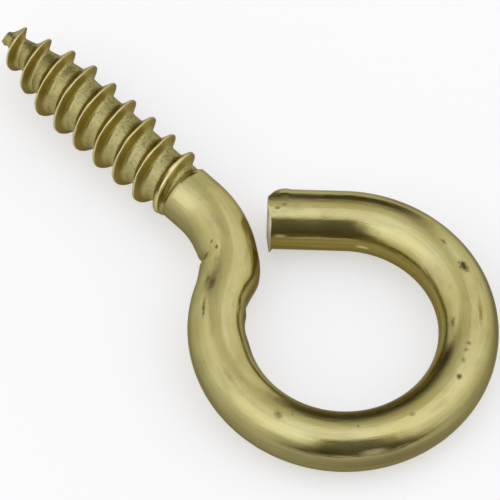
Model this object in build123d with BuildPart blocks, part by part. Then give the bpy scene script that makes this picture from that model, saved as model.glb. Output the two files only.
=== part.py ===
"""Screw eye bent from one length of round brass wire, with a rolled wood-screw thread.

The shank lies along X with its gimlet point towards -X, and the open eye at +X. The part is
in the pose it takes when it lies on a table: the far side of the eye and the thread's last
full crest both touch the plane Z = 0, so the eye's plane leans a little towards the eye.
"""

from build123d import *
from math import acos, asin, atan, atan2, ceil, cos, degrees, hypot, radians, sin, sqrt, tan
import os

# Wire and eye, with radii to the middle of the wire
wire_diameter = 2.5
eye_radius = 5.19
eye_turn = 287.0
eye_gap = 0.44
neck_radius = 4.12

# Shank, measured along its axis from the eye's centre
tip_distance = 19.65
shoulder_distance = 9.24
shoulder_length = 0.14

# Rolled thread
thread_diameter = 3.16
core_diameter = 2.22
tip_diameter = 0.44
thread_pitch = 1.15
leading_flank_angle = 34.0
trailing_flank_angle = 29.0
shortest_point_turns = 2.5
runout_turns = 2
runout_rise = 0.06
arcs_per_turn = 3

# Marks that bending and shearing leave on the wire
crease_depth = 0.2
crease_angle = 110.0
crease_place_share = 0.615
shear_roll_length = 0.53
shear_roll_depth = 0.41
shear_roll_side = 29.0

# How far a cut runs past the wire, and how deep the thread's ridge is rooted in the core
overrun = 0.3
ridge_root = 0.12

wire_radius = wire_diameter / 2
thread_radius = thread_diameter / 2
core_radius = core_diameter / 2
tip_radius = tip_diameter / 2

# The thread starts low at the shoulder, runs at full height, then tapers to the point
full_thread_distance = shoulder_distance + runout_turns * thread_pitch
full_turns = int((tip_distance - full_thread_distance) / thread_pitch - shortest_point_turns)
point_distance = full_thread_distance + full_turns * thread_pitch
point_length = tip_distance - point_distance
point_taper = atan((core_radius - tip_radius) / point_length)
point_turns = point_length / thread_pitch
whole_point_turns = ceil(point_turns) - 1
runout_radius = wire_radius + runout_rise
runout_taper = atan((thread_radius - runout_radius) / (runout_turns * thread_pitch))

# The lean that sets the last full crest and the far side of the eye on the table
rest_span = eye_radius + full_thread_distance
rest_lean = atan2(thread_radius, rest_span) - asin(wire_radius / hypot(rest_span, thread_radius))
eye_centre_x = ((tip_distance - eye_radius) * cos(rest_lean) - wire_radius) / 2
eye_centre_z = wire_radius + eye_radius * sin(rest_lean)

# The eye's plane has its origin at the eye's centre and x along the shank, towards the eye
eye_plane = Plane(
    origin=(eye_centre_x, 0, eye_centre_z),
    x_dir=(cos(rest_lean), 0, -sin(rest_lean)),
    z_dir=(sin(rest_lean), 0, cos(rest_lean)),
)
shank_axis = Axis(eye_plane.origin, eye_plane.x_dir)
tipward = -eye_plane.x_dir

# The neck turns aside from the shank and touches the eye's circle from outside
neck_centre = Vector(-sqrt((eye_radius + neck_radius) ** 2 - neck_radius**2), -neck_radius)
neck_turn = degrees(acos(neck_radius / (eye_radius + neck_radius)))

# The straight tail stops where the inner edge of its end stands the gap off the neck
eye_end_angle = degrees(atan2(neck_centre.Y, neck_centre.X)) + eye_turn
eye_end = Vector(1, 0).rotate(Axis.Z, eye_end_angle)
tail_direction = eye_end.rotate(Axis.Z, 90)
inner_edge = eye_end * (eye_radius - wire_radius) - neck_centre
gap_circle_radius = neck_radius + wire_radius + eye_gap
approach = inner_edge.dot(tail_direction)
tail_length = -approach - sqrt(approach**2 - inner_edge.dot(inner_edge) + gap_circle_radius**2)


def on_axis(distance):
    """Point on the shank's axis at a distance from the eye's centre."""
    return eye_plane.from_local_coords((-distance, 0, 0))


with BuildPart() as screw_eye:
    # Core of the thread: a blunt cone, a cylinder, and the shoulder up to the full wire
    with BuildSketch(Plane(eye_plane.origin, eye_plane.x_dir, -eye_plane.y_dir)):
        with BuildLine():
            Polyline(
                (-tip_distance, 0),
                (-tip_distance, tip_radius),
                (-point_distance, core_radius),
                (-shoulder_distance - shoulder_length, core_radius),
                (-shoulder_distance, wire_radius),
                (-shoulder_distance, 0),
                close=True,
            )
        make_face()
    revolve(axis=shank_axis)

    # Plain wire: the rest of the shank, the neck, the eye and the straight tail
    with BuildLine(eye_plane) as wire_path:
        shank = Line((-shoulder_distance, 0), (neck_centre.X, 0))
        neck = JernArc(shank @ 1, shank % 1, neck_radius, -neck_turn)
        eye = JernArc(neck @ 1, neck % 1, eye_radius, eye_turn)
        tail = PolarLine(eye @ 1, tail_length, direction=eye % 1)
    with BuildSketch(Plane(shank @ 0, z_dir=shank % 0)):
        Circle(wire_radius)
    sweep(path=wire_path.wires()[0])

    # Crest line of the thread, turn by turn from the side that faces the table, in arcs that
    # don't end above one another on the core's seam
    ridge_turns = [(1, runout_taper)] * runout_turns
    ridge_turns += [(1, 0)] * full_turns
    ridge_turns += [(1, -point_taper)] * whole_point_turns
    ridge_turns += [(point_turns - whole_point_turns, -point_taper)]
    crest_distance = shoulder_distance
    crest_radius = runout_radius
    with BuildLine() as crest_line:
        for turns, taper in ridge_turns:
            advance = turns * thread_pitch
            turn = Helix(
                thread_pitch / cos(taper),
                advance,
                crest_radius,
                center=on_axis(crest_distance),
                direction=tipward,
                cone_angle=degrees(taper),
                mode=Mode.PRIVATE,
            )
            for arc in range(arcs_per_turn):
                add(turn.trim(arc / arcs_per_turn, (arc + 1) / arcs_per_turn))
            crest_distance += advance
            crest_radius += advance * tan(taper)

    # Ridge of the thread, with its steeper flank towards the eye
    ridge_height = thread_radius - core_radius + ridge_root
    leading_foot = ridge_height * tan(radians(leading_flank_angle))
    trailing_foot = ridge_height * tan(radians(trailing_flank_angle))
    with BuildSketch(Plane(crest_line.edges()[0] @ 0, tipward, -eye_plane.y_dir)):
        with BuildLine():
            Polyline(
                (0, 0),
                (leading_foot, -ridge_height),
                (-trailing_foot, -ridge_height),
                close=True,
            )
        make_face()
    sweep(path=crest_line.wires()[0], is_frenet=True)

    # The point is sheared off square
    split(bisect_by=Plane(on_axis(tip_distance), z_dir=eye_plane.x_dir), keep=Keep.TOP)

    # Crease pressed into the inside of the neck's bend
    crease_half_width = (crease_depth + overrun) * tan(radians(crease_angle / 2))
    with BuildSketch(Plane(neck @ crease_place_share, neck % crease_place_share, eye_plane.z_dir)):
        with BuildLine():
            Polyline(
                (0, crease_depth - wire_radius),
                (crease_half_width, -wire_radius - overrun),
                (-crease_half_width, -wire_radius - overrun),
                close=True,
            )
        make_face()
    extrude(amount=wire_radius, both=True, mode=Mode.SUBTRACT)

    # Edge of the tail's end, rolled over by the shear on its outer side and a little above it
    roll_slope = shear_roll_depth / shear_roll_length
    roll_end_depth = shear_roll_depth + overrun * roll_slope
    roll_z_dir = eye_plane.z_dir.rotate(Axis(tail @ 1, tail % 1), -shear_roll_side)
    with BuildSketch(Plane(tail @ 1, tail % 1, roll_z_dir)):
        with BuildLine():
            Polyline(
                (overrun, roll_end_depth - wire_radius),
                (overrun, -wire_radius - overrun * roll_slope),
                (-shear_roll_length - overrun, -wire_radius - overrun * roll_slope),
                close=True,
            )
        make_face()
    extrude(amount=wire_radius, both=True, mode=Mode.SUBTRACT)

screw_eye.part.label = "screw_eye"
os.makedirs("parts", exist_ok=True)
export_step(screw_eye.part, "parts/screw_eye.step")
print("size", screw_eye.part.bounding_box().size, "volume", screw_eye.part.volume)
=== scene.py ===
# %% [markdown]
# A brass screw eye
# The real thing is one length of round brass wire. One end is bent to an open eye and cut off in
# a shear, and a coarse wood thread is rolled on the other end. It lies on the table as it comes
# to rest, on the far side of the eye and on a crest of the thread.
# The CAD part is loaded first, as a fixed frame that gives the place and the size. This lesson
# then models the same wire again, with a rounder thread and the marks of bending and cutting.

# %% Load the frame
import math

import bpy
from mathutils import Matrix, Vector, noise


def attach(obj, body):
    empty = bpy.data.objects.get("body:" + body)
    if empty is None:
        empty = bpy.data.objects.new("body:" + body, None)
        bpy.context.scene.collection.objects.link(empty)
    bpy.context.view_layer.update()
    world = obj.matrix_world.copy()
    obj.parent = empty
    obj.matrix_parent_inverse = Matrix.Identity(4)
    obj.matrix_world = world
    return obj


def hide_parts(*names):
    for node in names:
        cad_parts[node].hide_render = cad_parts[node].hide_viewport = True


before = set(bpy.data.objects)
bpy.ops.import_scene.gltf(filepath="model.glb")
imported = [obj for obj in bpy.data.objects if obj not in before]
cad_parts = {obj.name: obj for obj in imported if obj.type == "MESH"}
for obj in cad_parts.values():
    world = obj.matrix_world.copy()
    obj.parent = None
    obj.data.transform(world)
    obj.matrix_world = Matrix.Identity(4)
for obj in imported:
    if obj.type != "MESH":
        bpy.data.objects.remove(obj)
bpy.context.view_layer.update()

# %% [markdown]
# The sizes are those of the CAD part, in millimetres. A drawing of a wire shape gives radii to
# the middle of the wire and lengths from the eye's centre, so the same is done here: the eye's
# centre is the origin, the shank runs along X to its point at -X, and Z is up through the eye.
# Modelling at this size also keeps clear of the smallest distances that edit mode can tell apart.

# %% Sizes of the wire
wire_radius = 1.25
eye_radius = 5.19
neck_radius = 4.12
eye_turn = math.radians(287.0)
eye_gap = 0.44
shoulder = -9.24
tip = -19.65

centre_distance = eye_radius + neck_radius
neck_centre = Vector((-math.sqrt(centre_distance ** 2 - neck_radius ** 2), -neck_radius, 0))
neck_turn = math.acos(neck_radius / centre_distance)
eye_start = math.atan2(neck_centre.y, neck_centre.x) % (2 * math.pi)
eye_end = eye_start + eye_turn
tail_outward = Vector((math.cos(eye_end), math.sin(eye_end), 0))
tail_direction = Vector((-tail_outward.y, tail_outward.x, 0))
inner_edge = tail_outward * (eye_radius - wire_radius) - neck_centre
approach = inner_edge.dot(tail_direction)
gap_circle = neck_radius + wire_radius + eye_gap
tail_length = -approach - math.sqrt(approach ** 2 - inner_edge.dot(inner_edge) + gap_circle ** 2)
print("neck turn", round(math.degrees(neck_turn), 2), "tail length", round(tail_length, 3))

# %% [markdown]
# Wire is drawn through a die and bent on pins, so its shape is a circle carried along a path of
# straights and arcs. A bevelled curve would give that too, but extrude and spin are what a modeller
# does by hand, and they leave even rings that the marks of bending can be pressed into later.
# The circle starts at the shoulder, with a narrow round on its edge.

# %% Circle at the shoulder, and the plain shank
def deselect_all():
    """Starts each piece with nothing selected."""
    bpy.ops.object.select_all(action="DESELECT")


ring_points = 72
edge_round = 0.03

deselect_all()
bpy.ops.mesh.primitive_circle_add(vertices=ring_points, radius=wire_radius - edge_round,
                                  location=(shoulder, 0, 0), rotation=(0, math.pi / 2, 0))
wire = bpy.context.object
wire.name = "screw_eye_wire"
bpy.ops.object.transform_apply(location=True, rotation=True, scale=True)
bpy.ops.object.mode_set(mode="EDIT")
bpy.ops.mesh.select_all(action="SELECT")


def extrude_by(step):
    """Extrudes what is selected by one step, in millimetres."""
    bpy.ops.mesh.extrude_region_move(TRANSFORM_OT_translate={"value": tuple(step)})


extrude_by((edge_round, 0, 0))
grow = wire_radius / (wire_radius - edge_round)
bpy.ops.transform.resize(value=(1, grow, grow), center_override=(shoulder + edge_round, 0, 0))
shank_steps = 6
shank_step = (neck_centre.x - shoulder - edge_round) / shank_steps
for _ in range(shank_steps):
    extrude_by((shank_step, 0, 0))
print("shank made, plain length", round(neck_centre.x - shoulder, 3))

# %% [markdown]
# The neck turns aside round a small pin and the eye is then wound round a large one, the other way.
# Spin carries the open ring round a centre, just as the bending pin does. The neck has closer
# rings, because a crease will be pressed into it.

# %% Neck and eye by spin
neck_steps = 96
eye_steps = 200
bpy.ops.mesh.spin(steps=neck_steps, angle=neck_turn, center=neck_centre, axis=(0, 0, 1))
bpy.ops.mesh.spin(steps=eye_steps, angle=eye_turn, center=(0, 0, 0), axis=(0, 0, -1))
print("neck and eye spun in", neck_steps + eye_steps, "steps")

# %% [markdown]
# The tail is straight and ends where it was sheared off. The last stretch gets close rings, for the
# outer edge that the shear rolled over. One face closes the end, and insets give it rings to shape.

# %% Tail and its end face
fine_length = 1.1
fine_steps = 32
tail_steps = 8
inset_steps = (0.03, 0.12, 0.3)
for _ in range(tail_steps):
    extrude_by(tail_direction * ((tail_length - fine_length) / tail_steps))
for _ in range(fine_steps):
    extrude_by(tail_direction * (fine_length / fine_steps))
bpy.ops.mesh.edge_face_add()
for inset_step in inset_steps:
    bpy.ops.mesh.inset(thickness=inset_step)
bpy.ops.object.mode_set(mode="OBJECT")
end_centre = tail_outward * eye_radius + tail_direction * tail_length
print("wire has", len(wire.data.vertices), "points")

# %% [markdown]
# The marks of bending are told by their place on the wire: how far along its middle line, and at
# which angle round it. A maker would measure them the same way, with a tape and a protractor.
# The place of each point is found once, while the wire is still plain and round: it is on the
# stretch whose middle line lies one wire radius away. The angle is 0 on top and grows to the left
# of the run, which is the inner side of the eye.

# %% Place of each point along and round the wire
shank_length = neck_centre.x - shoulder
neck_end = shank_length + neck_radius * neck_turn
eye_finish = neck_end + eye_radius * eye_turn


def wire_place(point):
    """Length along the wire, its middle there, and the direction that lies to the left of its run."""
    places = []
    length = min(point.x - shoulder, shank_length)
    places.append((length, Vector((shoulder + length, 0, 0)), Vector((0, 1, 0))))
    angle = math.atan2(point.y - neck_centre.y, point.x - neck_centre.x)
    turned = min(max(math.pi / 2 - angle, 0), neck_turn)
    side = Vector((math.sin(turned), math.cos(turned), 0))
    places.append((shank_length + neck_radius * turned, neck_centre + side * neck_radius, side))
    turned = (math.atan2(point.y, point.x) - eye_start) % (2 * math.pi)
    if turned <= eye_turn:
        side = Vector((math.cos(eye_start + turned), math.sin(eye_start + turned), 0))
        places.append((neck_end + eye_radius * turned, side * eye_radius, -side))
    tail_start = tail_outward * eye_radius
    length = min(max((point - tail_start).dot(tail_direction), 0), tail_length)
    places.append((eye_finish + length, tail_start + tail_direction * length, -tail_outward))
    return min(places, key=lambda place: abs((point - place[1]).length - wire_radius))


end_points = ring_points * len(inset_steps)
wire_places = [wire_place(vertex.co) for vertex in wire.data.vertices]
wire_places[-end_points:] = [(eye_finish + tail_length, end_centre, -tail_outward)] * end_points
wire_angles = [math.atan2((vertex.co - middle).dot(left), (vertex.co - middle).z)
               for vertex, (length, middle, left) in zip(wire.data.vertices, wire_places)]
print("lengths along the wire: neck ends", round(neck_end, 2), "eye ends", round(eye_finish, 2))

# %% [markdown]
# The shear came down on the outer side of the tail, a little from above, and rolled that edge over
# before it broke through. A bevel would round the end evenly, but here only one side is pressed
# down, so each ring near the end is held under a curve that falls towards the end. Behind it the
# metal has risen to a low lip. The last of the section broke off: that part of the end slopes back
# to the rim and is paler, and a small burr hangs from its lower edge. An attribute keeps the paler
# metal for the material.

# %% Rolled edge, lip, broken face and burr at the tail's end
roll_length = 0.53
roll_depth = 0.34
roll_curve = 1.7
roll_side = math.radians(29)
lip_height = 0.03
lip_back = 0.72
lip_reach = 0.32
burr_length = 0.15
burr_across = 0.1
burr_half_width = 0.28
burr_reach = 0.14
break_line = 0.5
break_blend = 0.6
rim_setback = 0.13
rim_reach = 0.5
face_setback = 0.09
face_rise = 0.10
face_reach = 0.3
roll_outward = tail_outward * math.cos(roll_side) + Vector((0, 0, 1)) * math.sin(roll_side)
roll_across = roll_outward.cross(tail_direction)


def fade(distance, reach):
    """Falls softly from 1 at no distance to 0 at the reach."""
    share = min(abs(distance) / reach, 1)
    return (1 - share * share) ** 2


broken = wire.data.attributes.new("broken", "FLOAT", "POINT")
for index, vertex in enumerate(wire.data.vertices):
    offset = vertex.co - end_centre
    behind = -offset.dot(tail_direction)
    if wire_places[index][0] < eye_finish or behind > fine_length:
        continue
    outward = offset.dot(roll_outward)
    across = offset.dot(roll_across)
    inside = wire_radius - math.hypot(outward, across)
    low_side = min(max((break_line - outward) / break_blend, 0), 1)
    if outward > 0.8 * wire_radius:
        vertex.co += roll_outward * lip_height * fade(behind - lip_back, lip_reach)
    top = wire_radius - roll_depth * max(1 - behind / roll_length, 0) ** roll_curve
    if outward > top and behind < roll_length:
        vertex.co += roll_outward * (top - outward)
    if outward < -0.9 * wire_radius:
        burr_share = fade(across - burr_across, burr_half_width) * max(1 - behind / burr_reach, 0)
        vertex.co -= roll_outward * burr_length * burr_share
    setback = rim_setback * max(1 - behind / rim_reach, 0)
    if inside > 0.02:
        setback = face_setback - face_rise * min(inside / face_reach, 1)
    vertex.co -= tail_direction * setback * low_side
    if behind < 0.001:
        broken.data[index].value = 0.3 + 0.7 * low_side
print("tail end shaped, broken points:", sum(point.value > 0 for point in broken.data))

# %% [markdown]
# On the inside of the neck's bend the wire has nowhere to go, so it folds into a sharp crease that
# fades out over the front, in a shallow dip. Just behind, on the other side, the bending pin has
# swelled the wire a little, and where the eye begins the larger pin has pressed it thinner, first
# deep and then long. Each mark is a soft push along the line from the wire's middle, strongest at
# its place and fading along the wire and round it.

# %% Crease and pin marks on the neck
right_side = -math.pi / 2
left_side = math.pi / 2
crease_at = shank_length + 0.615 * neck_radius * neck_turn
crease_depth = 0.2
crease_half_length = 0.42
dip_depth = 0.05
swell_height = 0.06
deep_press = 0.19
long_press = 0.12
marked_length = neck_end + 4


def angle_between(angle, side):
    """How far an angle round the wire is from one side, up to half a turn."""
    return abs((angle - side + math.pi) % (2 * math.pi) - math.pi)


pressed = 0
for vertex, (length, middle, left), angle in zip(wire.data.vertices, wire_places, wire_angles):
    if length > marked_length:
        continue
    from_right = angle_between(angle, right_side)
    crease = crease_depth * max(0, 1 - abs(length - crease_at) / crease_half_length)
    crease *= max(0, math.cos(min(1.45 * from_right, math.pi / 2))) ** 1.3
    crease += dip_depth * fade(length - crease_at, 1.1) * fade(from_right, 1.9)
    from_left = angle_between(angle, left_side)
    swell = swell_height * fade(length - neck_end + 1.15, 0.95) * fade(from_left, 1.3)
    press = deep_press * fade(length - neck_end - 0.08, 0.9)
    press += long_press * fade(length - neck_end - 1.35, 1.5)
    push = swell - press * fade(from_left, 1.2) - crease
    if abs(push) > 1e-5:
        vertex.co += (vertex.co - middle).normalized() * push
        pressed += 1
print("points moved by the bending marks", pressed)

# %% [markdown]
# The thread is rolled: dies squeeze the wire, so a sharp ridge rises while the core gets thinner
# than the plain shank. Its shape repeats every pitch, so the profile of one pitch is drawn, by
# extruding a single point from root to crest and back to root, and the Screw modifier winds it
# round the shank. The eye's side of the ridge is the steeper one. Each pair below is a place along
# the shank and a height above the core.

# %% Profile of one pitch
pitch = 1.15
core_radius = 1.11
ridge_height = 0.47
profile = [(-0.575, 0.0), (-0.47, 0.0), (-0.39, 0.004), (-0.335, 0.02), (-0.29, 0.06), (-0.247, 0.122),
           (-0.199, 0.202), (-0.151, 0.282), (-0.103, 0.362), (-0.062, 0.43), (-0.040, 0.456),
           (-0.014, 0.47), (0.014, 0.47), (0.036, 0.456), (0.053, 0.43), (0.087, 0.36), (0.126, 0.28),
           (0.165, 0.2), (0.203, 0.122), (0.238, 0.06), (0.28, 0.018), (0.335, 0.003), (0.42, 0.0),
           (0.5, 0.0), (0.575, 0.0)]
first_crest = shoulder - 10 * pitch

deselect_all()
bpy.ops.mesh.primitive_plane_add(size=1, location=(0, 0, 0))
thread = bpy.context.object
thread.name = "screw_eye_thread"
bpy.ops.object.mode_set(mode="EDIT")
bpy.ops.mesh.select_all(action="SELECT")
bpy.ops.mesh.merge(type="CENTER")
bpy.ops.transform.translate(value=(first_crest + profile[0][0], 0, -core_radius - profile[0][1]))
for (place, height), (next_place, next_height) in zip(profile, profile[1:]):
    extrude_by((next_place - place, 0, height - next_height))
bpy.ops.object.mode_set(mode="OBJECT")
print("profile points", len(thread.data.vertices))

# %% [markdown]
# The profile starts beyond the point and runs past the shoulder. The turns meet edge to edge, so
# merging the doubles welds them into one skin.

# %% Wind the thread
turn_steps = 72
bpy.ops.object.modifier_add(type="SCREW")
winding = thread.modifiers[-1]
winding.axis = "X"
winding.screw_offset = pitch
winding.iterations = 11
winding.steps = turn_steps
winding.render_steps = turn_steps
bpy.ops.object.modifier_apply(modifier=winding.name)
bpy.ops.object.mode_set(mode="EDIT")
bpy.ops.mesh.select_all(action="SELECT")
bpy.ops.mesh.remove_doubles(threshold=0.001)
bpy.ops.object.mode_set(mode="OBJECT")
print("thread points", len(thread.data.vertices))

# %% [markdown]
# The core is a cylinder that tapers to the point, which is bent a little aside, and the ridge stays
# nearly as high to the end. Towards the shoulder the dies bite less, so the ridge is lower and
# blunt there, with a shallow groove between two lips on the near side and a notch in the shoulder
# on the far side. This goes beyond what one modifier does, so each point is set by its height on
# the profile. A little unevenness along the crest keeps it from looking machined. Two attributes
# keep the height on the ridge and the flank that faces the eye, for the material.

# %% Taper the point and lower the last turns
full_start = shoulder - 2 * pitch
point_start = shoulder - 6 * pitch
tip_radius = 0.22
taper_curve = 1.2
runout_length = 1.6
blunt_height = 0.2
tip_run = 0.45
groove_depth = 0.06
crest_wear = 0.02
notch_depth = 0.1
bend_start = -14.6
bend_length = 5
bend_aside = 0.12
bend_curve = 1.2
ridge_share = thread.data.attributes.new("ridge", "FLOAT", "POINT")
eye_side = thread.data.attributes.new("eye_side", "FLOAT", "POINT")
for index, vertex in enumerate(thread.data.vertices):
    around = Vector((0, vertex.co.y, vertex.co.z))
    height = around.length - core_radius
    around.normalize()
    place = vertex.co.x
    angle = math.atan2(vertex.co.y, vertex.co.z)
    turns = (place - first_crest) / pitch - math.atan2(vertex.co.y, -vertex.co.z) / (2 * math.pi)
    eye_side.data[index].value = 1 if turns > round(turns) else 0
    ridge_share.data[index].value = min(max(height / ridge_height, 0), 1)
    taper = min(max((point_start - place) / (point_start - tip), 0), 1.3)
    core = core_radius - (core_radius - tip_radius) * taper ** taper_curve
    rise = 1 - max(1 - max(shoulder - place, 0) / runout_length, 0) ** 2
    tip_share = min(max((place - tip) / tip_run, 0), 1)
    most = (blunt_height + (ridge_height - blunt_height) * rise) * (0.25 + 0.75 * tip_share)
    low = height
    if height > most:
        low = most - min(groove_depth * fade(angle + 1.2, 1.5), 0.4 * (height - most))
    wave = noise.noise(vertex.co * 1.3) * 0.02 + noise.noise(vertex.co * 4.1) * 0.008
    low -= (crest_wear + wave) * max(height, 0) / ridge_height
    low -= notch_depth * fade(place - shoulder + 0.3, 0.26) * fade(angle - 0.6, 0.5)
    on_axis = Vector((place + wave * height / ridge_height, 0, 0))
    vertex.co = on_axis + around * max(core + low, 0.02)
    vertex.co.y += bend_aside * min(max((bend_start - place) / bend_length, 0), 1) ** bend_curve
print("crest reaches", round(max(v.co.yz.length for v in thread.data.vertices), 3))

# %% [markdown]
# Bisect cuts the thread off square at the tip and open at the shoulder. Blender fills the tip, and
# the open loop is bridged to the wire's first ring, which makes the sloping shoulder and one
# closed skin.

# %% Cut the thread and join it to the wire
shoulder_length = 0.14
bpy.ops.object.mode_set(mode="EDIT")
bpy.ops.mesh.select_all(action="SELECT")
bpy.ops.mesh.bisect(plane_co=(tip, 0, 0), plane_no=(1, 0, 0),
                    clear_inner=True, use_fill=True, threshold=0.0005)
bpy.ops.mesh.select_all(action="SELECT")
bpy.ops.mesh.bisect(plane_co=(shoulder - shoulder_length, 0, 0), plane_no=(1, 0, 0),
                    clear_outer=True, threshold=0.0005)
bpy.ops.object.mode_set(mode="OBJECT")
deselect_all()
thread.select_set(True)
wire.select_set(True)
bpy.context.view_layer.objects.active = wire
bpy.ops.object.join()
screw_eye = wire
screw_eye.name = "screw_eye_brass"
bpy.ops.object.mode_set(mode="EDIT")
bpy.ops.mesh.select_mode(type="EDGE")
bpy.ops.mesh.select_all(action="DESELECT")
bpy.ops.mesh.select_non_manifold(extend=False, use_wire=False, use_boundary=True,
                                 use_multi_face=False, use_non_contiguous=False, use_verts=False)
bpy.ops.mesh.bridge_edge_loops()
bpy.ops.mesh.select_all(action="SELECT")
bpy.ops.mesh.normals_make_consistent(inside=False)
bpy.ops.mesh.select_all(action="DESELECT")
bpy.ops.mesh.select_non_manifold(extend=False)
bpy.ops.object.mode_set(mode="OBJECT")
open_edges = sum(edge.select for edge in screw_eye.data.edges)
print("one skin of", len(screw_eye.data.polygons), "faces, open edges:", open_edges)

# %% [markdown]
# A drawn wire has fine lines along it, and the finish has to follow the wire round its bends. So
# the skin gets a flat map: one way is the length along the wire, the other the distance round it,
# both in millimetres, with the seam on the side that faces the table.

# %% Map along and round the wire
wire_map = screw_eye.data.uv_layers.new(name="wire")
flat = [(place[0], angle) for place, angle in zip(wire_places, wire_angles)]
for vertex in screw_eye.data.vertices[len(flat):]:
    flat.append((vertex.co.x - shoulder, math.atan2(vertex.co.y, vertex.co.z)))
for face in screw_eye.data.polygons:
    angles = [flat[index][1] for index in face.vertices]
    wraps = max(angles) - min(angles) > math.pi
    for loop, index in zip(face.loop_indices, face.vertices):
        length, angle = flat[index]
        if wraps and angle < 0:
            angle += 2 * math.pi
        wire_map.data[loop].uv = (length, angle * wire_radius)
lengths = [length for length, angle in flat]
print("map runs from", round(min(lengths), 2), "to", round(max(lengths), 2), "mm")

# %% [markdown]
# Now the piece takes its place on the table. At rest it leans a little, because the thread's crest
# stands out further than the wire. Object scale brings millimetres to metres, and applying the
# transform leaves the finished piece at the origin with its place in its mesh, as the CAD node's is.

# %% Lay it on the table
metres = 0.001
thread_radius = core_radius + ridge_height
rest_span = eye_radius - full_start
crest_angle = math.atan2(thread_radius, rest_span)
lean = crest_angle - math.asin(wire_radius / math.hypot(rest_span, thread_radius))
eye_place = Vector((((-tip - eye_radius) * math.cos(lean) - wire_radius) / 2, 0,
                    wire_radius + eye_radius * math.sin(lean)))
deselect_all()
screw_eye.select_set(True)
bpy.context.view_layer.objects.active = screw_eye
screw_eye.scale = (metres, metres, metres)
screw_eye.rotation_euler = (0, lean, 0)
screw_eye.location = eye_place * metres
bpy.ops.object.transform_apply(location=True, rotation=True, scale=True)
bpy.ops.object.shade_smooth_by_angle(angle=math.radians(45))
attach(screw_eye, "root")
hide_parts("screw_eye")
print("lean", round(math.degrees(lean), 3), "degrees; lowest point in mm",
      round(1000 * min(v.co.z for v in screw_eye.data.vertices), 3))

# %% [markdown]
# Brass is a metal, so its colour is the colour of its reflections. Plain numbers go on the shader's
# own sockets, and what varies over the surface comes through nodes. A net of nodes is a long sum,
# so each kind of step gets a short name first. The names work on the tree that is current: the
# brass now, and the floor and the light later.

# %% Short names for nodes
def connect(value, socket):
    """Links another node's result to a socket, or sets a plain value on it."""
    if isinstance(value, bpy.types.NodeSocket):
        tree.links.new(value, socket)
    else:
        socket.default_value = value


def calculate(operation, *values):
    """A Math node on one or two values."""
    made = tree.nodes.new("ShaderNodeMath")
    made.operation = operation
    for value, socket in zip(values, made.inputs):
        connect(value, socket)
    return made.outputs[0]


def times(first, second):
    """One value multiplied by another."""
    return calculate("MULTIPLY", first, second)


def plus(first, second):
    """The sum of two values."""
    return calculate("ADD", first, second)


def larger(first, second):
    """The larger of two values."""
    return calculate("MAXIMUM", first, second)


def on_vectors(operation, result, *values):
    """A Vector Math node, with its Vector or its Value as the result."""
    made = tree.nodes.new("ShaderNodeVectorMath")
    made.operation = operation
    for value, socket in zip(values, made.inputs):
        connect(value, socket)
    return made.outputs[result]


def ramp(value, low, high, to_low=0.0, to_high=1.0):
    """Brings a value from one range to another, held at its ends."""
    made = tree.nodes.new("ShaderNodeMapRange")
    made.clamp = True
    for number, socket in zip((value, low, high, to_low, to_high), made.inputs):
        connect(number, socket)
    return made.outputs[0]


def blend_colours(share, first, second):
    """Mixes two colours by a share."""
    made = tree.nodes.new("ShaderNodeMix")
    made.data_type = "RGBA"
    for value, socket in zip((share, first, second), (0, 6, 7)):
        connect(value, made.inputs[socket])
    return made.outputs[2]


def cloudy(place, scale, detail, unrest):
    """Noise between 0 and 1, by its place."""
    made = tree.nodes.new("ShaderNodeTexNoise")
    settings = {"Vector": place, "Scale": scale, "Detail": detail, "Roughness": unrest}
    for name, value in settings.items():
        connect(value, made.inputs[name])
    return made.outputs[0]


def kept_on_points(name):
    """A value that was kept on the points of the mesh."""
    made = tree.nodes.new("ShaderNodeAttribute")
    made.attribute_name = name
    return made.outputs["Fac"]


# %% [markdown]
# The clean wire has soft clouds of darker brass, fine drawing lines along it, and duller smudges
# where it was handled. All are noise: the clouds and the fine grains by their place in space, the
# lines and smudges by the map, stretched along the wire. Both places are in millimetres.

# %% Brass, with its clouds, drawing lines and smudges
brass = bpy.data.materials.new("drawn_brass")
brass.use_nodes = True
tree = brass.node_tree
shader = tree.nodes["Principled BSDF"]
shader.inputs["Specular Tint"].default_value = (0.62, 0.57, 0.46, 1)

map_node = tree.nodes.new("ShaderNodeUVMap")
map_node.uv_map = "wire"
map_place = map_node.outputs["UV"]
object_place = tree.nodes.new("ShaderNodeTexCoord").outputs["Object"]
solid_place = on_vectors("MULTIPLY", "Vector", object_place, (1000.0, 1000.0, 1000.0))
lines = cloudy(on_vectors("MULTIPLY", "Vector", map_place, (0.16, 7.0, 0.0)), 1.0, 4.0, 0.65)
smudges = cloudy(on_vectors("MULTIPLY", "Vector", map_place, (0.55, 1.9, 0.0)), 1.0, 4.0, 0.6)
clouds = cloudy(solid_place, 0.45, 3.0, 0.55)
grains = cloudy(solid_place, 9.0, 3.0, 0.7)

colour = blend_colours(ramp(clouds, 0.35, 0.68), (0.56, 0.50, 0.19, 1), (0.635, 0.58, 0.255, 1))
colour = blend_colours(ramp(lines, 0.35, 0.75, 0.0, 0.3), colour, (0.44, 0.38, 0.125, 1))
smudge = ramp(smudges, 0.52, 0.72, 0.0, 0.5)
colour = blend_colours(smudge, colour, (0.345, 0.31, 0.145, 1))
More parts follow.
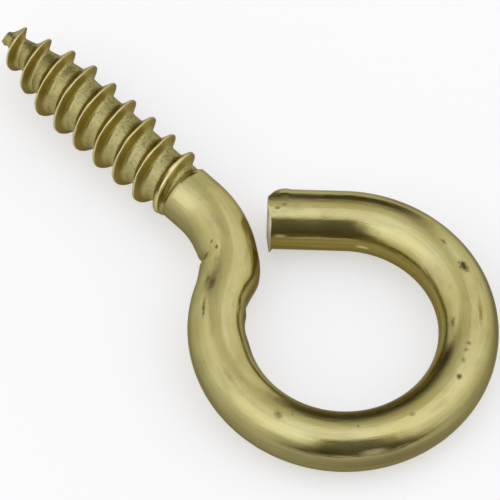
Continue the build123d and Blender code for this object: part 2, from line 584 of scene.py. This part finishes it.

# %% [markdown]
# The wire's top and bottom are left bright. Its sides are painted darker, as painted shade for the
# floor and the eye's own brass that they reflect; it is browner inside the eye and streaked along
# the drawing lines. The angle round the wire, from the map, tells where the painted shade is.

# %% Painted shade on the sides of the wire
map_split = tree.nodes.new("ShaderNodeSeparateXYZ")
connect(map_place, map_split.inputs["Vector"])
on_wire = ramp(map_split.outputs["X"], -0.15, 0.05)
wire_angle = calculate("DIVIDE", map_split.outputs["Y"], wire_radius)
upward = calculate("ABSOLUTE", calculate("COSINE", wire_angle))
# Painted shade: the sides of the wire are darkened where they reflect the floor and the eye's brass.
side_shade = times(on_wire, ramp(plus(upward, times(clouds, 0.3)), 0.45, 0.95, 0.95, 0.0))
side_shade = times(side_shade, ramp(lines, 0.35, 0.6, 0.8, 1.0))
inner_side = ramp(calculate("SINE", wire_angle), -0.3, 0.5)
side_shade_colour = blend_colours(inner_side, (0.30, 0.265, 0.11, 1), (0.265, 0.205, 0.04, 1))
colour = blend_colours(side_shade, colour, side_shade_colour)

# %% [markdown]
# In a few soft stretches the sides are painted nearly black, as painted shade for dark reflections,
# and in others bright streaks are painted highlights on scraped brass. Each stretch is an oval on
# the map, given by its place along and round the wire, its half length, its half width and its
# strength, all but the strength in millimetres.

# %% Painted deep shade and painted highlights
def oval_distance(along, round_wire, half_length, half_width):
    """Distance from a place on the map, where 1 is the edge of an oval round it."""
    away = on_vectors("SUBTRACT", "Vector", map_place, (along, round_wire, 0))
    return on_vectors("LENGTH", "Value", on_vectors("DIVIDE", "Vector", away, (half_length, half_width, 1)))


# Painted shade: nearly black ovals on the sides, where they reflect shaded floor and dark surroundings.
deep_shade_stretches = [(16.4, 1.004, 6.0, 0.48, 0.85), (25.6, -1.396, 5.5, 0.45, 0.6),
                  (16.6, -1.702, 3.4, 0.36, 0.45), (29.2, -1.025, 1.4, 0.33, 0.5),
                  (7.8, 1.636, 4.5, 0.5, 0.8), (20.9, 0.982, 2.0, 0.36, 0.75),
                  (21.4, 0.654, 1.1, 0.22, 0.65), (13.9, -1.091, 1.8, 0.27, 0.5)]
deep_side_shade = 0.0
for *oval, strength in deep_shade_stretches:
    deep_side_shade = larger(deep_side_shade, ramp(oval_distance(*oval), 0.3, 1.15, strength, 0.0))
colour = blend_colours(deep_side_shade, colour, (0.115, 0.085, 0.028, 1))

# Painted highlights: bright streaks over scraped brass.
highlight_scrapes = [(34.2, 1.37, 0.36, 0.10, 0.95), (32.6, 1.43, 1.5, 0.08, 0.4),
           (30.5, 1.80, 0.42, 0.09, 0.75), (16.3, -1.12, 0.6, 0.14, 0.8)]
scrape_highlight = 0.0
for *oval, strength in highlight_scrapes:
    scrape_highlight = larger(scrape_highlight, ramp(oval_distance(*oval), 0.4, 1.1, strength, 0.0))
colour = blend_colours(scrape_highlight, colour, (0.84, 0.77, 0.42, 1))
print("stretches of deep film", len(deep_shade_stretches), "and scrapes", len(highlight_scrapes))

# %% [markdown]
# The dies leave the thread's roots dull and speckled with grease, and the roots are also painted
# darker, as painted shade. The flanks that face the eye carry brown painted shade, the crests a
# painted highlight, and the far side painted shade. The height on the ridge and the eye's side were
# kept on the points for this.

# %% Roots, flanks and crests of the thread, with painted shade and painted highlight
ridge = kept_on_points("ridge")
on_thread = calculate("SUBTRACT", 1.0, on_wire)
# Painted shade: brown on the flanks that face the eye, darker on one side of the thread.
flank = times(ramp(ridge, 0.02, 0.4), ramp(ridge, 1.0, 0.93))
flank = times(times(flank, on_thread), ramp(kept_on_points("eye_side"), 0.0, 1.0, 0.12, 0.85))
flank_shade_colour = blend_colours(ramp(wire_angle, -1.2, -0.3), (0.25, 0.18, 0.035, 1), (0.40, 0.30, 0.065, 1))
colour = blend_colours(flank, colour, flank_shade_colour)
# Painted highlight on the crests.
crest = times(on_thread, ramp(ridge, 0.9, 0.97))
colour = blend_colours(crest, colour, (0.70, 0.63, 0.30, 1))
# Painted shade on the thread's far side.
far_side_shade = times(on_thread, ramp(wire_angle, 0.35, 1.1))
colour = blend_colours(times(far_side_shade, 0.6), colour, (0.22, 0.18, 0.06, 1))
# Painted shade: the roots are darkened; the speckles after it are grease.
root = times(on_thread, ramp(ridge, 0.03, 0.45, 1.0, 0.0))
colour = blend_colours(times(root, 0.5), colour, (0.43, 0.385, 0.15, 1))
speckles = times(larger(root, times(flank, 0.5)), ramp(grains, 0.50, 0.62))
speckles = times(speckles, ramp(wire_angle, -0.7, 0.5, 0.4, 1.0))
colour = blend_colours(times(speckles, 0.75), colour, (0.13, 0.10, 0.03, 1))

# %% [markdown]
# The brass has been handled: there are dark spots of tarnish, a few smears along the wire and a
# rust-brown streak. Each is an oval on the map, as above. Noise roughens their edges, so they don't
# look stamped, and a fine pepper of small spots lies over all.

# %% Tarnish spots and a rust-brown streak
spots = [(25.80, -0.36, 0.30, 0.20, 0.95), (23.31, 0.74, 0.30, 0.10, 0.6), (22.25, -0.08, 0.11, 0.11, 0.6),
         (21.93, -0.05, 0.10, 0.10, 0.6), (21.45, -0.10, 0.13, 0.12, 0.55), (20.70, -0.28, 0.12, 0.12, 0.95),
         (18.11, -0.13, 0.12, 0.09, 0.6), (15.83, 0.04, 0.08, 0.07, 0.5), (12.50, -0.17, 0.20, 0.17, 0.6),
         (5.64, -0.49, 0.34, 0.16, 0.75), (6.76, -0.65, 0.42, 0.07, 0.7), (3.35, -0.72, 0.10, 0.09, 0.7),
         (3.73, -0.52, 0.10, 0.08, 0.8), (34.33, 0.15, 0.13, 0.08, 0.65), (34.02, -0.02, 0.12, 0.08, 0.55),
         (27.15, -0.30, 0.16, 0.08, 0.6), (33.30, 1.05, 0.25, 0.16, 0.4), (9.90, -0.35, 0.5, 0.12, 0.3),
         (eye_finish + tail_length - 0.1, -0.75, 0.35, 0.5, 0.65)]
ragged_edge = times(calculate("SUBTRACT", grains, 0.5), 2.2)
tarnish = 0.0
for *oval, strength in spots:
    tarnish = larger(tarnish, ramp(plus(oval_distance(*oval), ragged_edge), 0.3, 1.25, strength, 0.0))
pepper = cloudy(solid_place, 2.6, 2.0, 0.5)
tarnish = larger(tarnish, ramp(pepper, 0.74, 0.80, 0.0, 0.5))
colour = blend_colours(tarnish, colour, (0.075, 0.05, 0.018, 1))
rust = ramp(plus(oval_distance(23.75, -0.47, 0.55, 0.10), ragged_edge), 0.3, 1.3, 0.8, 0.0)
colour = blend_colours(rust, colour, (0.30, 0.19, 0.035, 1))
print("tarnish spots", len(spots))

# %% [markdown]
# Where the tail broke off, the metal is torn: pale, matt and less of a mirror. Elsewhere the wire is
# smooth, and duller in the thread's roots and flanks and under tarnish and smudges. The relief is
# fine: drawing lines, grains in the roots, and a faint unevenness that makes reflections waver.

# %% Broken metal, roughness and fine relief
torn = kept_on_points("broken")
colour = blend_colours(torn, colour, (0.90, 0.82, 0.60, 1))
rough = plus(ramp(clouds, 0.3, 0.7, 0.12, 0.19), ramp(lines, 0.3, 0.8, 0.0, 0.07))
dull_places = ((larger(root, flank), 0.2), (tarnish, 0.3), (smudge, 0.12), (scrape_highlight, 0.3), (torn, 0.45))
for share, extra in dull_places:
    rough = plus(rough, times(share, extra))
relief = plus(lines, times(times(grains, root), 1.5))
relief = plus(plus(relief, times(clouds, 1.2)), times(smudges, 2.5))
bump = tree.nodes.new("ShaderNodeBump")
bump.inputs["Strength"].default_value = 0.35
bump.inputs["Distance"].default_value = 0.00002
connect(relief, bump.inputs["Height"])
connect(colour, shader.inputs["Base Color"])
connect(rough, shader.inputs["Roughness"])
connect(calculate("SUBTRACT", 1.0, times(torn, 0.6)), shader.inputs["Metallic"])
connect(bump.outputs["Normal"], shader.inputs["Normal"])
screw_eye.data.materials.clear()
screw_eye.data.materials.append(brass)
print("brass has", len(tree.nodes), "nodes")

# %% [markdown]
# The photograph has a plain white ground. The floor is a large pale sheet under soft light. A lamp
# strong enough to make it white would bleach the brass, so the sheet glows instead, for the camera
# most and in reflections less. It comes out white and still keeps a soft shadow.

# %% Floor
reflected_glow = 0.28
camera_glow = 0.205
deselect_all()
bpy.ops.mesh.primitive_plane_add(size=1.6, location=(0, 0, 0))
floor = bpy.context.object
floor.name = "floor"
white = bpy.data.materials.new("white_sheet")
white.use_nodes = True
tree = white.node_tree
sheet = tree.nodes["Principled BSDF"]
sheet.inputs["Base Color"].default_value = (0.60, 0.594, 0.55, 1)
sheet.inputs["Roughness"].default_value = 0.9
sheet.inputs["Specular IOR Level"].default_value = 0.0
sheet.inputs["Emission Color"].default_value = (1, 1, 1, 1)
rays = tree.nodes.new("ShaderNodeLightPath").outputs
seen = plus(plus(rays["Is Camera Ray"], rays["Is Glossy Ray"]), rays["Is Transmission Ray"])
glow = plus(times(seen, reflected_glow), times(rays["Is Camera Ray"], camera_glow))
connect(glow, sheet.inputs["Emission Strength"])
floor.data.materials.append(white)
print("floor is", round(floor.dimensions.x, 2), "m wide")

# %% [markdown]
# The camera looks down on the eye from in front and a little to the right of the shank's end. It
# stands far off with a long lens, because the photograph shows hardly any perspective. Its frame is
# square. The turn is measured in the eye's plane, and the target is given from the eye's centre.

# %% Camera
view_turn = math.radians(41.40)
view_tilt = math.radians(28.88)
view_roll = math.radians(3.30)
view_distance = 0.625
view_width = 0.020657
sensor_width = 36.0
target_left = 0.003847
target_up = 0.0033425
lay = Matrix.Rotation(lean, 3, "Y")
level_right = lay @ Vector((math.cos(view_turn), math.sin(view_turn), 0))
to_camera = lay @ Vector((math.sin(view_turn) * math.sin(view_tilt),
                          -math.cos(view_turn) * math.sin(view_tilt), math.cos(view_tilt)))
level_up = to_camera.cross(level_right)
right = level_right * math.cos(view_roll) + level_up * math.sin(view_roll)
up = level_up * math.cos(view_roll) - level_right * math.sin(view_roll)
target = eye_place * metres - right * target_left + up * target_up
camera_data = bpy.data.cameras.new("camera")
camera = bpy.data.objects.new("camera", camera_data)
bpy.context.collection.objects.link(camera)
turned_camera = Matrix((right, up, to_camera)).transposed().to_4x4()
camera.matrix_world = Matrix.Translation(target + to_camera * view_distance) @ turned_camera
camera_data.sensor_width = sensor_width
camera_data.lens = sensor_width * view_distance / view_width
camera_data.clip_start = 0.01
bpy.context.scene.camera = camera
print("camera height", round(camera.location.z, 3), "m, lens", round(camera_data.lens), "mm")

# %% [markdown]
# Small bright metal is photographed in a tent of white cloth, lit from outside. Its roof is brighter
# than its walls. In a white tent alone, brass would look like flat paint: what gives it shape is the
# dark that it reflects. So the tent has an opening in front, where the camera looks in, which widens
# towards its foot. The world's strength says this for each direction. Angles to the side are in
# degrees from the camera's, and height is the upward part of the direction.

# %% Light tent with its opening
world = bpy.data.worlds.new("light_tent")
bpy.context.scene.world = world
world.use_nodes = True
tree = world.node_tree
facing = Vector((to_camera.x, to_camera.y, 0)).normalized()
sideways = Vector((-facing.y, facing.x, 0))
look = tree.nodes.new("ShaderNodeTexCoord").outputs["Generated"]
look_up = on_vectors("DOT_PRODUCT", "Value", look, (0, 0, 1))


def degrees_from(ahead, aside):
    """Angle of the look from one level direction towards another at its side, in degrees."""
    look_ahead = on_vectors("DOT_PRODUCT", "Value", look, ahead)
    look_aside = on_vectors("DOT_PRODUCT", "Value", look, aside)
    return times(calculate("ARCTAN2", look_aside, look_ahead), 180 / math.pi)


from_front = degrees_from(facing, sideways)
widening = ramp(look_up, 0.0, 0.5, 17.0, 0.0)
opening = times(ramp(plus(from_front, widening), -21.0, -9.0),
                ramp(calculate("SUBTRACT", from_front, widening), 31.0, 52.0, 1.0, 0.0))
opening = times(opening, ramp(look_up, 0.87, 0.965, 1.0, 0.0))
cloth = ramp(look_up, 0.0, 0.75, 0.80, 1.08)
cloth = times(cloth, ramp(opening, 0.0, 1.0, 1.0, 0.13))

# %% [markdown]
# The cloth doesn't close at the back. The wire's top looks there, so this dark gap is what draws the
# long bands along the neck and the eye. It is darkest at its foot and ends below the roof. The cloth
# beside it is a little shaded, and along its edge runs a seam that catches light.

# %% Gap at the back of the tent
gap_turn = math.radians(194)
gap = Matrix.Rotation(gap_turn, 3, "Z") @ facing
gap_side = Matrix.Rotation(math.pi / 2, 3, "Z") @ gap
from_gap = calculate("ABSOLUTE", degrees_from(gap, gap_side))
below_roof = ramp(look_up, 0.90, 0.98, 1.0, 0.0)
in_gap = times(below_roof, ramp(from_gap, 30.0, 37.0, 1.0, 0.0))
gap_loss = calculate("SUBTRACT", 1.0, ramp(look_up, 0.42, 0.85, 0.09, 0.76))
cloth = times(cloth, calculate("SUBTRACT", 1.0, times(in_gap, gap_loss)))
near_gap = times(below_roof, ramp(from_gap, 100.0, 50.0, 0.0, 0.15))
cloth = times(cloth, calculate("SUBTRACT", 1.0, near_gap))
from_seam = calculate("ABSOLUTE", calculate("SUBTRACT", from_gap, 42.0))
cloth = times(cloth, ramp(from_seam, 1.5, 6.0, 1.1, 1.0))

# %% [markdown]
# Dark parts of a room are warm and daylight through the cloth is cool, so the light's colour follows
# its strength. Two soft lamps stand outside the tent, left and right of the camera. They only lift
# the cloth a little.

# %% Colour of the light, and two soft lamps
tone = blend_colours(ramp(cloth, 0.1, 0.8), (1.0, 0.92, 0.72, 1), (1.0, 0.995, 0.99, 1))
tone = blend_colours(ramp(cloth, 0.85, 1.1), tone, (1.0, 1.015, 1.28, 1))
connect(tone, tree.nodes["Background"].inputs["Color"])
connect(cloth, tree.nodes["Background"].inputs["Strength"])


def soft_lamp(name, turned, raised, width, height, brightness):
    """Hangs a lamp half a metre off, turned from the camera and raised by degrees; 1 is white."""
    lamp_data = bpy.data.lights.new(name, "AREA")
    lamp_data.shape = "RECTANGLE"
    lamp_data.size = width
    lamp_data.size_y = height
    lamp_data.energy = math.pi * width * height * brightness
    lamp = bpy.data.objects.new(name, lamp_data)
    bpy.context.collection.objects.link(lamp)
    level = facing * math.cos(math.radians(turned)) + sideways * math.sin(math.radians(turned))
    towards = level * math.cos(math.radians(raised)) + Vector((0, 0, math.sin(math.radians(raised))))
    lamp.location = towards * 0.5
    lamp.rotation_euler = towards.to_track_quat("Z", "Y").to_euler()
    lamp.visible_camera = False


soft_lamp("lamp_left", -46, 50, 0.36, 0.40, 0.2)
soft_lamp("lamp_right", 78, 64, 0.32, 0.34, 0.14)
print("light tent has", len(tree.nodes), "nodes, and two lamps hang outside it")

# %% [markdown]
# Last come the view settings.

# %% Finish
bpy.context.scene.view_settings.view_transform = "Standard"
